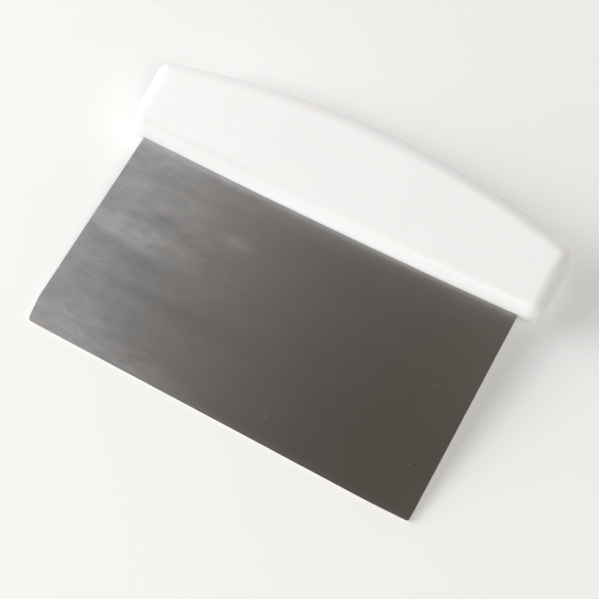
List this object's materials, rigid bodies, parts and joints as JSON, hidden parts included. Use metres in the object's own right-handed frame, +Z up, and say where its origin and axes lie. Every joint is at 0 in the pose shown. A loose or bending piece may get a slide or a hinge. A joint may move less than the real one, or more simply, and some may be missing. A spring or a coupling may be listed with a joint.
{
  "type": "bench scraper",
  "caption": "Bench scraper: a flat rectangular stainless blade with a straight scraping edge, held in a wedge-shaped white plastic grip with an arched top.",
  "frame": {"origin": "middle of the bounding box on the bench top, with the scraper lying as it rests: the foot of the blade and the back of the grip both touch the bench", "axes": "+X along the scraping edge, +Y from the scraping edge towards the grip, +Z up from the bench"},
  "size_m": [0.165, 0.1175, 0.0219],
  "materials": {
    "blade": "fine grain along the scraping edge",
    "handle": "satin white"
  },
  "bodies": {
    "root": {"blade": "blade", "handle": "handle"}
  },
  "joints": []
}
